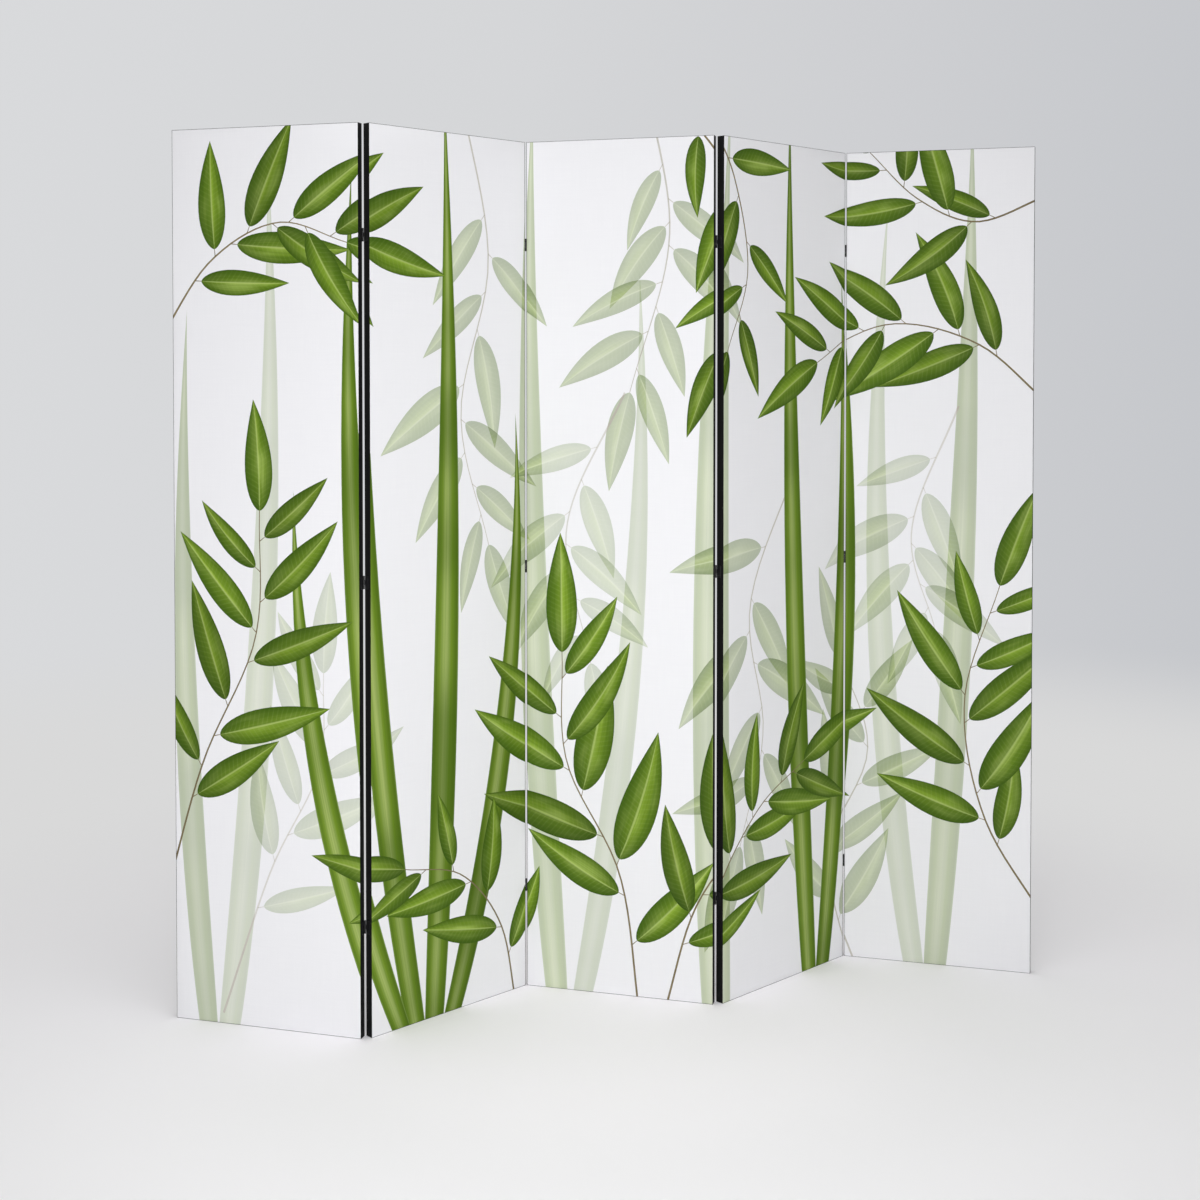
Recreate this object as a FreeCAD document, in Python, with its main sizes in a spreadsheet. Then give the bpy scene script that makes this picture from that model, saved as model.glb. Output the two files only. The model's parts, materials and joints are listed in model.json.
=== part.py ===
import FreeCAD, Part
import os
import re
import Sketcher

# Folding screen: five canvas panels that stand in a zigzag, joined by four folds of three small hinges.
# Every piece is drawn in the frame of its own panel: X across the panel, Y through it with the back at +Y,
# Z up from the floor. The panel is then turned and moved to its place in the row, whose middle is the origin.

# Driving sizes in millimetres, and fold_turn in degrees.
SIZES = {
    # one panel, over its cloths and its edging
    "panel_width": 383,
    "panel_height": 1700,
    "panel_thickness": 17,
    # how far each panel is turned out of the line of the row
    "fold_turn": 30,
    # the printed canvas, the plain back cloth and the black edging
    "canvas_thickness": 0.5,
    "backing_thickness": 0.5,
    "edging_thickness": 0.5,
    "edging_gap": 0.1,
    # stretcher bars: their face width, the raised outer lip, and how far each face falls away behind it
    "bar_width": 32,
    "bar_lip": 6,
    "bar_fall": 2,
    # the cross rail and its tenons
    "cross_rail_height": 32,
    "cross_rail_chamfer": 1.5,
    "tenon_length": 14,
    "tenon_thickness": 6,
    "tenon_height": 22,
    "tenon_play": 0.1,
    # a hinge: two leaves of sheet steel, rolled round a pin
    "hinge_height": 25,
    "hinge_end_distance": 205,
    "leaf_thickness": 0.7,
    "leaf_depth": 12,
    "leaf_corner": 2,
    "middle_knuckle_height": 9,
    "knuckle_play": 0.3,
    "axis_proud": 0.8,
    "pin_diameter": 1.4,
    "pin_play": 0.05,
    # countersunk screws: two for each leaf
    "screw_inset": 7,
    "screw_end_distance": 4.5,
    "screw_head_diameter": 4.4,
    "screw_shank_diameter": 2.5,
    "screw_length": 12,
    "screw_play": 0.1,
    # how far a cut runs past what it cuts
    "cut_overrun": 1,
}

PANEL_COUNT = 5
MIDDLE_PANEL = 3
HINGES_ON_A_FOLD = 3
SCREWS_ON_A_LEAF = 2
# the pins are round; what is small and many, such as the knuckles, the screws and their holes, has straight sides
BARREL_SIDES = 12
SCREW_SIDES = 6
COUNTERSINK_TAPER = 45

LEFT, RIGHT = -1, 1
FRONT, BACK = -1, 1
BOTTOM, TOP = 1, -1
SIDE_NAMES = {LEFT: "left", RIGHT: "right"}
END_NAMES = {BOTTOM: "bottom", TOP: "top"}
# the way that a sketch on each origin plane faces, along X, Y or Z
FACINGS = {"XY_Plane": 1, "XZ_Plane": -1, "YZ_Plane": 1}

# Sizes that follow from the driving ones, written as formulas of their names.
core_front = "(-panel_thickness / 2 + canvas_thickness)"
core_back = "(panel_thickness / 2 - backing_thickness)"
core_middle = "((canvas_thickness - backing_thickness) / 2)"
frame_edge = "(panel_width / 2 - edging_thickness - canvas_thickness)"
frame_foot = "(edging_thickness + canvas_thickness)"
frame_top = "(panel_height - edging_thickness - canvas_thickness)"
bore_radius = "(pin_diameter / 2 + pin_play)"
knuckle_radius = f"({bore_radius} + leaf_thickness)"
hinge_rise = "(panel_height / 2 - hinge_end_distance)"
countersink_radius = "(screw_head_diameter / 2 + screw_play)"
# the head's cone may reach through the leaf, so the cloth and edging below it are opened as wide
screw_way_radius = "(max(screw_head_diameter / 2 - leaf_thickness; screw_shank_diameter / 2) + screw_play)"
screw_spacing = "(hinge_height - 2 * screw_end_distance)"
pilot_radius = "(screw_shank_diameter / 2 + screw_play)"
pilot_depth = "(screw_length + screw_play - leaf_thickness - edging_thickness - canvas_thickness)"
# from the middle of one panel to the middle of the next, along the row
panel_pitch = (
    f"((panel_width + 2 * {knuckle_radius}) * cos(fold_turn)"
    " + (panel_thickness + 2 * axis_proud) * sin(fold_turn))"
)

document = FreeCAD.newDocument("folding_screen")
sheet = document.addObject("Spreadsheet::Sheet", "sizes")
for row, (name, size) in enumerate(SIZES.items(), start=1):
    sheet.set(f"A{row}", name)
    sheet.set(f"B{row}", str(size))
    sheet.setAlias(f"B{row}", name)
document.recompute()

NAME_OF_A_SIZE = re.compile(r"\b(" + "|".join(SIZES) + r")\b")
sub_parts = {}


# Formulas and sketches

def formula(text):
    """The formula with every size read from the sheet."""
    return NAME_OF_A_SIZE.sub(r"sizes.\1", text)


def value(text):
    return sheet.evalExpression(formula(text))


def new_sketch(body, name, plane_role, place, across="0", up="0"):
    """A sketch parallel to one of the body's origin planes, at place along X, Y or Z.

    Across and up move the sketch's own origin within that plane.
    """
    plane = next(item for item in body.Origin.OriginFeatures if item.Role == plane_role)
    sketch = body.newObject("Sketcher::SketchObject", name)
    sketch.AttachmentSupport = [(plane, "")]
    sketch.MapMode = "FlatFace"
    sketch.setExpression("AttachmentOffset.Base.x", formula(across))
    sketch.setExpression("AttachmentOffset.Base.y", formula(up))
    sketch.setExpression("AttachmentOffset.Base.z", formula(f"{FACINGS[plane_role]} * ({place})"))
    return sketch


def facing(sketch):
    plane, _ = sketch.AttachmentSupport[0]
    return FACINGS[plane.Role]


def pin_down(sketch, geometry, point, across, up):
    """Fixes a point of the sketch's geometry at two formulas, measured from the sketch's origin."""
    for kind, text in (("DistanceX", across), ("DistanceY", up)):
        number = sketch.addConstraint(Sketcher.Constraint(kind, -1, 1, geometry, point, value(text)))
        sketch.setExpression(f"Constraints[{number}]", formula(text))


def draw_outline(sketch, corners):
    """A closed outline through corners, each a pair of formulas."""
    first = sketch.GeometryCount
    places = [FreeCAD.Vector(value(across), value(up), 0) for across, up in corners]
    for index, place in enumerate(places):
        following = places[(index + 1) % len(places)]
        sketch.addGeometry(Part.LineSegment(place, following), False)
    for index, (across, up) in enumerate(corners):
        following = first + (index + 1) % len(corners)
        sketch.addConstraint(Sketcher.Constraint("Coincident", first + index, 2, following, 1))
        pin_down(sketch, first + index, 1, across, up)


def draw_rectangle(sketch, across_from, across_to, up_from, up_to):
    draw_outline(sketch, [
        (across_from, up_from),
        (across_to, up_from),
        (across_to, up_to),
        (across_from, up_to),
    ])


def draw_circle(sketch, across, up, radius):
    circle = Part.Circle(FreeCAD.Vector(value(across), value(up), 0), FreeCAD.Vector(0, 0, 1), value(radius))
    geometry = sketch.addGeometry(circle, False)
    pin_down(sketch, geometry, 3, across, up)
    number = sketch.addConstraint(Sketcher.Constraint("Radius", geometry, value(radius)))
    sketch.setExpression(f"Constraints[{number}]", formula(radius))


def draw_round(sketch, across, up, radius, sides, to_flats=False):
    """A regular outline in place of a small circle. The radius reaches its corners, or only its flats."""
    reach = f"({radius} / cos({180 / sides}))" if to_flats else radius
    corners = []
    for number in range(sides):
        turn = 360 / sides * number
        corners.append((f"({across} + {reach} * cos({turn}))", f"({up} + {reach} * sin({turn}))"))
    draw_outline(sketch, corners)


# Features

def new_body(label, several=False):
    body = document.addObject("PartDesign::Body", label)
    body.Label = label
    body.AllowCompound = several
    return body


def pad(body, name, sketch, length, towards=1, symmetric=False, taper=0):
    """Material grown from the sketch, towards the higher (1) or lower (-1) X, Y or Z."""
    feature = body.newObject("PartDesign::Pad", name)
    feature.Profile = sketch
    feature.setExpression("Length", formula(length))
    feature.Reversed = towards * facing(sketch) < 0
    feature.SideType = "Symmetric" if symmetric else "One side"
    feature.TaperAngle = -taper
    return feature


def pocket(body, name, sketch, length=None, towards=1, symmetric=False, taper=0):
    """A cut from the sketch, towards as for a pad; without a length it goes right through."""
    feature = body.newObject("PartDesign::Pocket", name)
    feature.Profile = sketch
    if length is None:
        feature.Type = "ThroughAll"
    else:
        feature.setExpression("Length", formula(length))
    # a pocket cuts against the way that its sketch faces unless it is reversed
    feature.Reversed = towards * facing(sketch) > 0
    feature.SideType = "Symmetric" if symmetric else "One side"
    feature.TaperAngle = -taper
    return feature


def repeat_upwards(body, name, spacing, copies, feature=None):
    """Copies of one feature, or of everything in the body so far, one above the other."""
    document.recompute()
    pattern = body.newObject("PartDesign::LinearPattern", name)
    if feature is None:
        pattern.TransformMode = "Whole shape"
    else:
        pattern.Originals = [feature]
    upwards = next(item for item in body.Origin.OriginFeatures if item.Role == "Z_Axis")
    pattern.Direction = (upwards, [""])
    pattern.Mode = "Spacing"
    pattern.Occurrences = copies
    pattern.setExpression("Offset", formula(spacing))
    body.Tip = pattern


def stand_in_row(piece, panel):
    """Turns the piece with its panel and moves it to the panel's place, then keeps it as a sub-part."""
    turn = 1 if panel % 2 == 0 else -1
    upright = FreeCAD.Vector(0, 0, 1)
    piece.Placement = FreeCAD.Placement(FreeCAD.Vector(0, 0, 0), FreeCAD.Rotation(upright, turn))
    piece.setExpression("Placement.Rotation.Angle", formula(f"{turn} * fold_turn"))
    piece.setExpression("Placement.Base.x", formula(f"{panel - MIDDLE_PANEL} * {panel_pitch}"))
    sub_parts[piece.Label] = piece


# Places in a panel's frame

def in_from_side(side, inward):
    """X at a distance inward from the wooden frame's edge."""
    return f"{side} * ({frame_edge} - {inward})"


def in_from_end(end, inward):
    """Z at a distance inward from the wooden frame's foot or top."""
    if end == BOTTOM:
        return f"({frame_foot} + {inward})"
    return f"({frame_top} - {inward})"


def in_from_axis(face, inward):
    """Y at a distance into the panel from the hinge axis, which stands proud of that face."""
    return f"{face} * (panel_thickness / 2 + axis_proud - {inward})"


def axis_across(side):
    return f"{side} * (panel_width / 2 + {knuckle_radius})"


def fold_face(fold):
    """The face that a fold's hinges are on: the back where it points forward, and the front where not."""
    return BACK if fold % 2 == 1 else FRONT


def hinged_sides(panel):
    """The sides of a panel that have hinges, each with the face that they are on."""
    sides = []
    if panel > 1:
        sides.append((LEFT, fold_face(panel - 1)))
    if panel < PANEL_COUNT:
        sides.append((RIGHT, fold_face(panel)))
    return sides


def screw_heights():
    """Z of the two screws of the lowest hinge."""
    return [f"(hinge_end_distance + {step} * {screw_spacing} / 2)" for step in (-1, 1)]


def draw_screw_outlines(sketch, face, radius):
    for height in screw_heights():
        draw_round(sketch, in_from_axis(face, "screw_inset"), height, radius, SCREW_SIDES, to_flats=True)


def open_screw_ways(body, panel):
    """Clearance holes for the hinge screws, through whatever lies round the panel's edge."""
    for side, face in hinged_sides(panel):
        name = f"{SIDE_NAMES[side]}_screw_ways"
        sketch = new_sketch(body, f"{name}_sketch", "YZ_Plane", "0")
        draw_screw_outlines(sketch, face, screw_way_radius)
        holes = pocket(body, name, sketch, towards=side)
        repeat_upwards(body, f"all_{name}", hinge_rise, HINGES_ON_A_FOLD, holes)


# The wooden frame of a panel

def bar_section():
    """Corners of a stretcher bar, as distance in from the frame's edge and place through the panel."""
    return [
        ("0", core_front),
        ("bar_lip", core_front),
        ("bar_width", f"({core_front} + bar_fall)"),
        ("bar_width", f"({core_back} - bar_fall)"),
        ("bar_lip", core_back),
        ("0", core_back),
    ]


def draw_mitre(sketch, side, end, waste_across, waste_up):
    """A triangle along the corner's diagonal; its third corner lies in the waste."""
    outside = "(-cut_overrun)"
    inside = "(bar_width + cut_overrun)"
    draw_outline(sketch, [
        (in_from_side(side, outside), in_from_end(end, outside)),
        (in_from_side(side, inside), in_from_end(end, inside)),
        (in_from_side(side, waste_across), in_from_end(end, waste_up)),
    ])


def make_stile(panel, side):
    body = new_body(f"panel_{panel}_{SIDE_NAMES[side]}_stile")
    section = new_sketch(body, "stile_section", "XY_Plane", frame_foot)
    draw_outline(section, [(in_from_side(side, inward), through) for inward, through in bar_section()])
    pad(body, "stile_bar", section, f"({frame_top} - {frame_foot})")

    mitres = new_sketch(body, "stile_mitre_sketch", "XZ_Plane", "0")
    for end in (BOTTOM, TOP):
        draw_mitre(mitres, side, end, "(bar_width + cut_overrun)", "(-cut_overrun)")
    pocket(body, "stile_mitres", mitres, symmetric=True)

    mortise = new_sketch(body, "mortise_sketch", "YZ_Plane", in_from_side(side, "bar_width"))
    draw_rectangle(
        mortise,
        f"({core_middle} - tenon_thickness / 2 - tenon_play)",
        f"({core_middle} + tenon_thickness / 2 + tenon_play)",
        "(panel_height / 2 - tenon_height / 2 - tenon_play)",
        "(panel_height / 2 + tenon_height / 2 + tenon_play)",
    )
    pocket(body, "mortise", mortise, "(tenon_length + tenon_play)", towards=side)

    for hinged_side, face in hinged_sides(panel):
        if hinged_side == side:
            pilots = new_sketch(body, "pilot_sketch", "YZ_Plane", in_from_side(side, "0"))
            draw_screw_outlines(pilots, face, pilot_radius)
            holes = pocket(body, "pilot_holes", pilots, pilot_depth, towards=-side)
            repeat_upwards(body, "all_pilot_holes", hinge_rise, HINGES_ON_A_FOLD, holes)
    stand_in_row(body, panel)


def make_end_rail(panel, end):
    body = new_body(f"panel_{panel}_{END_NAMES[end]}_rail")
    section = new_sketch(body, "rail_section", "YZ_Plane", "0")
    draw_outline(section, [(through, in_from_end(end, inward)) for inward, through in bar_section()])
    pad(body, "rail_bar", section, f"(2 * {frame_edge})", symmetric=True)

    mitres = new_sketch(body, "rail_mitre_sketch", "XZ_Plane", "0")
    for side in (LEFT, RIGHT):
        draw_mitre(mitres, side, end, "(-cut_overrun)", "(bar_width + cut_overrun)")
    pocket(body, "rail_mitres", mitres, symmetric=True)
    stand_in_row(body, panel)


def make_cross_rail(panel):
    """A chamfered bar between the stiles, as thin as their inner edges, with a tenon at each end."""
    body = new_body(f"panel_{panel}_cross_rail")
    section = new_sketch(body, "cross_rail_section", "YZ_Plane", "0")
    front, back = f"({core_front} + bar_fall)", f"({core_back} - bar_fall)"
    low, high = "(panel_height / 2 - cross_rail_height / 2)", "(panel_height / 2 + cross_rail_height / 2)"
    draw_outline(section, [
        (f"({front} + cross_rail_chamfer)", low),
        (f"({back} - cross_rail_chamfer)", low),
        (back, f"({low} + cross_rail_chamfer)"),
        (back, f"({high} - cross_rail_chamfer)"),
        (f"({back} - cross_rail_chamfer)", high),
        (f"({front} + cross_rail_chamfer)", high),
        (front, f"({high} - cross_rail_chamfer)"),
        (front, f"({low} + cross_rail_chamfer)"),
    ])
    pad(body, "cross_rail_bar", section, f"(2 * ({frame_edge} - bar_width))", symmetric=True)

    tenons = new_sketch(body, "tenon_section", "YZ_Plane", "0")
    draw_rectangle(
        tenons,
        f"({core_middle} - tenon_thickness / 2)",
        f"({core_middle} + tenon_thickness / 2)",
        "(panel_height / 2 - tenon_height / 2)",
        "(panel_height / 2 + tenon_height / 2)",
    )
    pad(body, "tenons", tenons, f"(2 * ({frame_edge} - bar_width + tenon_length))", symmetric=True)
    stand_in_row(body, panel)


# What covers the frame

def make_front_canvas(panel):
    """A shallow tray: the stretched face, and the four returns that turn back over the frame's edges."""
    body = new_body(f"panel_{panel}_front_canvas")
    outside = new_sketch(body, "canvas_sketch", "XZ_Plane", "(-panel_thickness / 2)")
    half_width = "(panel_width / 2 - edging_thickness)"
    draw_rectangle(
        outside, f"(-{half_width})", half_width, "edging_thickness", "(panel_height - edging_thickness)"
    )
    pad(body, "canvas_block", outside, "(panel_thickness - backing_thickness)", towards=BACK)

    inside = new_sketch(body, "canvas_inside_sketch", "XZ_Plane", core_front)
    draw_rectangle(inside, f"(-{frame_edge})", frame_edge, frame_foot, frame_top)
    pocket(body, "canvas_inside", inside, towards=BACK)
    open_screw_ways(body, panel)
    stand_in_row(body, panel)


def make_back_cloth(panel):
    body = new_body(f"panel_{panel}_back_cloth")
    sketch = new_sketch(body, "back_cloth_sketch", "XZ_Plane", core_back)
    half_width = "(panel_width / 2 - edging_thickness)"
    draw_rectangle(
        sketch, f"(-{half_width})", half_width, "edging_thickness", "(panel_height - edging_thickness)"
    )
    pad(body, "back_cloth_sheet", sketch, "backing_thickness", towards=BACK)
    stand_in_row(body, panel)


def make_edging(panel):
    """Four strips as wide as the panel is thick; the upright ones stop just short of the other two."""
    body = new_body(f"panel_{panel}_edging", several=True)
    sketch = new_sketch(body, "edging_sketch", "XZ_Plane", "0")
    half_width = "panel_width / 2"
    for low, high in (
        ("0", "edging_thickness"),
        ("(panel_height - edging_thickness)", "panel_height"),
    ):
        draw_rectangle(sketch, f"(-{half_width})", half_width, low, high)
    for side in (LEFT, RIGHT):
        draw_rectangle(
            sketch,
            f"{side} * ({half_width} - edging_thickness)",
            f"{side} * {half_width}",
            "(edging_thickness + edging_gap)",
            "(panel_height - edging_thickness - edging_gap)",
        )
    pad(body, "edging_strips", sketch, "panel_thickness", symmetric=True)
    open_screw_ways(body, panel)
    stand_in_row(body, panel)


# Hinges

def make_leaves(fold, side):
    """Three hinge leaves on one side of a fold. The left ones have two outer knuckles, the right ones one."""
    face = fold_face(fold)
    panel = fold if side == RIGHT else fold + 1
    label_side = "left" if side == RIGHT else "right"
    body = new_body(f"fold_{fold}_{label_side}_leaves", several=True)
    middle = "hinge_end_distance"

    plate = new_sketch(body, "plate_sketch", "YZ_Plane", f"{side} * panel_width / 2")
    corner_inset = in_from_axis(face, "(leaf_depth - leaf_corner)")
    draw_outline(plate, [
        (in_from_axis(face, "0"), f"({middle} - hinge_height / 2)"),
        (corner_inset, f"({middle} - hinge_height / 2)"),
        (in_from_axis(face, "leaf_depth"), f"({middle} - hinge_height / 2 + leaf_corner)"),
        (in_from_axis(face, "leaf_depth"), f"({middle} + hinge_height / 2 - leaf_corner)"),
        (corner_inset, f"({middle} + hinge_height / 2)"),
        (in_from_axis(face, "0"), f"({middle} + hinge_height / 2)"),
    ])
    pad(body, "plate", plate, "leaf_thickness", towards=side)

    barrel = new_sketch(body, "barrel_sketch", "XY_Plane", f"({middle} - hinge_height / 2)")
    draw_round(barrel, axis_across(side), in_from_axis(face, "0"), knuckle_radius, BARREL_SIDES)
    pad(body, "barrel", barrel, "hinge_height")

    bore = new_sketch(body, "bore_sketch", "XY_Plane", middle)
    draw_round(bore, axis_across(side), in_from_axis(face, "0"), bore_radius, BARREL_SIDES, to_flats=True)
    pocket(body, "bore", bore, symmetric=True)

    gaps = new_sketch(body, "knuckle_gap_sketch", "YZ_Plane", "0")
    outside = in_from_axis(face, f"(-{knuckle_radius} - cut_overrun)")
    inside = in_from_axis(face, f"({knuckle_radius} + knuckle_play)")
    if side == RIGHT:
        reach = "(middle_knuckle_height / 2 + knuckle_play)"
        draw_rectangle(gaps, outside, inside, f"({middle} - {reach})", f"({middle} + {reach})")
    else:
        for step in (-1, 1):
            draw_rectangle(
                gaps,
                outside,
                inside,
                f"({middle} + {step} * middle_knuckle_height / 2)",
                f"({middle} + {step} * (hinge_height / 2 + cut_overrun))",
            )
    pocket(body, "knuckle_gaps", gaps, towards=side)

    heads = new_sketch(body, "countersink_sketch", "YZ_Plane", f"{side} * (panel_width / 2 + leaf_thickness)")
    draw_screw_outlines(heads, face, countersink_radius)
    pocket(body, "countersinks", heads, towards=-side, taper=COUNTERSINK_TAPER, length="leaf_thickness")
    repeat_upwards(body, "three_leaves", hinge_rise, HINGES_ON_A_FOLD)
    stand_in_row(body, panel)


def make_pins(fold):
    """Three pins, as long as their hinges, held by the outer knuckles of the left leaves."""
    body = new_body(f"fold_{fold}_pins", several=True)
    sketch = new_sketch(body, "pin_sketch", "XY_Plane", "(hinge_end_distance - hinge_height / 2)")
    draw_circle(sketch, axis_across(RIGHT), in_from_axis(fold_face(fold), "0"), "(pin_diameter / 2)")
    pad(body, "pin", sketch, "hinge_height")
    repeat_upwards(body, "three_pins", hinge_rise, HINGES_ON_A_FOLD)
    stand_in_row(body, fold)


def make_screws_of_side(panel, side, face):
    """The six screws in one edge of a panel, heads flush with the free faces of the leaves."""
    body = new_body(f"panel_{panel}_{SIDE_NAMES[side]}_screws", several=True)
    free_face = f"{side} * (panel_width / 2 + leaf_thickness)"
    across, up = in_from_axis(face, "screw_inset"), screw_heights()[0]
    shank = new_sketch(body, "shank_sketch", "YZ_Plane", free_face)
    draw_round(shank, across, up, "(screw_shank_diameter / 2)", SCREW_SIDES, to_flats=True)
    pad(body, "shank", shank, "screw_length", towards=-side)
    head = new_sketch(body, "head_sketch", "YZ_Plane", free_face)
    draw_round(head, across, up, "(screw_head_diameter / 2)", SCREW_SIDES, to_flats=True)
    head_height = "(screw_head_diameter / 2 - screw_shank_diameter / 2)"
    pad(body, "head", head, head_height, towards=-side, taper=COUNTERSINK_TAPER)
    repeat_upwards(body, "screws_of_a_leaf", screw_spacing, SCREWS_ON_A_LEAF)
    repeat_upwards(body, "screws_of_an_edge", hinge_rise, HINGES_ON_A_FOLD)
    return body


def make_hinge_screws(panel):
    group = document.addObject("Part::Compound", f"panel_{panel}_hinge_screws")
    group.Label = f"panel_{panel}_hinge_screws"
    group.Links = [make_screws_of_side(panel, side, face) for side, face in hinged_sides(panel)]
    stand_in_row(group, panel)


# The whole screen

for panel in range(1, PANEL_COUNT + 1):
    for side in (LEFT, RIGHT):
        make_stile(panel, side)
    for end in (BOTTOM, TOP):
        make_end_rail(panel, end)
    make_cross_rail(panel)
    make_front_canvas(panel)
    make_back_cloth(panel)
    make_edging(panel)
    make_hinge_screws(panel)

for fold in range(1, PANEL_COUNT):
    make_leaves(fold, RIGHT)
    make_leaves(fold, LEFT)
    make_pins(fold)

document.recompute()

for item in document.Objects:
    if {"Invalid", "Error"} & set(item.State):
        raise RuntimeError(f"{item.Label} did not compute: {item.State}")
    if item.TypeId == "PartDesign::Pocket":
        if item.Shape.Volume >= item.BaseFeature.Shape.Volume:
            raise RuntimeError(f"{item.Label} cuts nothing")

os.makedirs("parts", exist_ok=True)
for label, piece in sub_parts.items():
    shape = piece.Shape
    if shape.isNull() or not shape.isValid():
        raise RuntimeError(f"{label} has no valid shape")
for label, piece in sub_parts.items():
    piece.Shape.exportStep(f"parts/{label}.step")
    print(f"{label}: {len(piece.Shape.Solids)} solids, {piece.Shape.Volume:.0f} cubic millimetres")
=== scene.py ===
# %% [markdown]
# # A folding screen with a printed canvas
#
# The screen has five panels. Each one is a wooden frame with a printed canvas stretched over its front, a
# plain cloth over its back, and a black strip glued round its edges. Small black hinges join the panels.
#
# The solids come from the CAD model, which is loaded first and never moved. Everything here is made round
# them, in metres, in the same place.

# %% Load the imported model
import json
import math
import random

import bmesh
import bpy
import numpy as np
from mathutils import Matrix, Vector
from mathutils.geometry import delaunay_2d_cdt


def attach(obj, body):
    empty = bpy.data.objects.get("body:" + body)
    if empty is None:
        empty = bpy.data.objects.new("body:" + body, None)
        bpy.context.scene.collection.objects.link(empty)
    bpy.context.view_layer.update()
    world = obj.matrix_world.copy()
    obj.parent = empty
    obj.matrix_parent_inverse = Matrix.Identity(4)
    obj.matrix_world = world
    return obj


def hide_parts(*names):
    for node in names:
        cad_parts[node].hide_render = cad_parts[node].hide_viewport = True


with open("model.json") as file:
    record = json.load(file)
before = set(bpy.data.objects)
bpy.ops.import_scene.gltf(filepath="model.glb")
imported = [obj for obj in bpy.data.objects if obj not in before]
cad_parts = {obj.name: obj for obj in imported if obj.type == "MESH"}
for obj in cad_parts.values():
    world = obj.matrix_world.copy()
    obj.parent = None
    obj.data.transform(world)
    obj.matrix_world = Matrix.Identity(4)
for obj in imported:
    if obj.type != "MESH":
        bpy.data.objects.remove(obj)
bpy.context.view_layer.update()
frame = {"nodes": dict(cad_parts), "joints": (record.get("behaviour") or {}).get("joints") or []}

# %% [markdown]
# Every piece is easiest to draw in the frame of its own panel: X across the panel, Y through it with the
# printed face at -Y, and Z up from the floor. One matrix for each panel then turns the piece and moves it
# to its place in the zigzag. The distance from one panel to the next is read from the joints, so it
# always agrees with the model.

# %% Places of the panels
PANEL_WIDTH, PANEL_HEIGHT, PANEL_THICKNESS = 0.383, 1.700, 0.017
CLOTH, STRIP = 0.0005, 0.0005  # how thick either cloth is, and the edging
FOLD_TURN = math.radians(30)
PANELS, FOLDS = range(1, 6), range(1, 5)
MIDDLE_PANEL = 3
joint_places = {joint["name"]: joint["pos_m"] for joint in frame["joints"]}
pitch = joint_places["fold_3"][0] - joint_places["fold_2"][0]


def panel_place(panel):
    turn = FOLD_TURN if panel % 2 == 0 else -FOLD_TURN
    return Matrix.Translation(((panel - MIDDLE_PANEL) * pitch, 0, 0)) @ Matrix.Rotation(turn, 4, "Z")


print("the panels stand", round(pitch, 4), "m apart along the row")

# %% [markdown]
# A piece is drawn as a bmesh, which is Blender's mesh for editing. When its shape is done, it is turned
# to its place and becomes an object at the origin, as the CAD objects are. It is told which panel it
# moves with, and which CAD node it stands for, so that node is hidden.

# %% Turn a finished shape into a piece of the screen
SHARP_ANGLE = math.radians(30)


def new_object(name, data):
    thing = bpy.data.objects.new(name, data)
    bpy.context.scene.collection.objects.link(thing)
    return thing


def mesh_object(name, shape, finish):
    mesh = bpy.data.meshes.new(name)
    shape.to_mesh(mesh)
    shape.free()
    mesh.materials.append(finish.material)
    return new_object(name, mesh)


def add_piece(name, shape, panel, node, finish):
    """Moves a bmesh to its panel's place and makes it an object that stands for a CAD node."""
    bmesh.ops.transform(shape, matrix=panel_place(panel), verts=shape.verts)
    for face in shape.faces:
        face.smooth = True
    piece = mesh_object(name, shape, finish)
    piece.data.set_sharp_from_angle(angle=SHARP_ANGLE)
    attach(piece, f"panel_{panel}")
    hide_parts(node)
    return piece


print("a piece of panel 1 moves to", panel_place(1).translation)

# %% [markdown]
# ## Materials from short formulas
#
# A procedural material is arithmetic on numbers that change over the surface. Wiring that by hand takes
# hundreds of nodes, so a small class stands for one wire. Writing a + b on two wires adds a Math node and
# gives its output back. Colours don't go through Math nodes, which would turn them grey: they go through
# Mix and Vector Math.

# %% A wire


def sign(operation, swapped=False):
    """The method behind one sign of arithmetic."""
    def method(wire, *other):
        values = (*other, wire) if swapped else (wire, *other)
        return wire.finish.maths(operation, *values)
    return method


class Wire:
    """An output of a node. Arithmetic on it adds a Math node and gives that node's output."""

    def __init__(self, finish, socket):
        self.finish, self.socket = finish, socket

    __add__ = __radd__ = sign("ADD")
    __mul__ = __rmul__ = sign("MULTIPLY")
    __sub__, __rsub__ = sign("SUBTRACT"), sign("SUBTRACT", swapped=True)
    __truediv__, __pow__ = sign("DIVIDE"), sign("POWER")
    __gt__, __abs__ = sign("GREATER_THAN"), sign("ABSOLUTE")


# %% The nodes of a material


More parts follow.
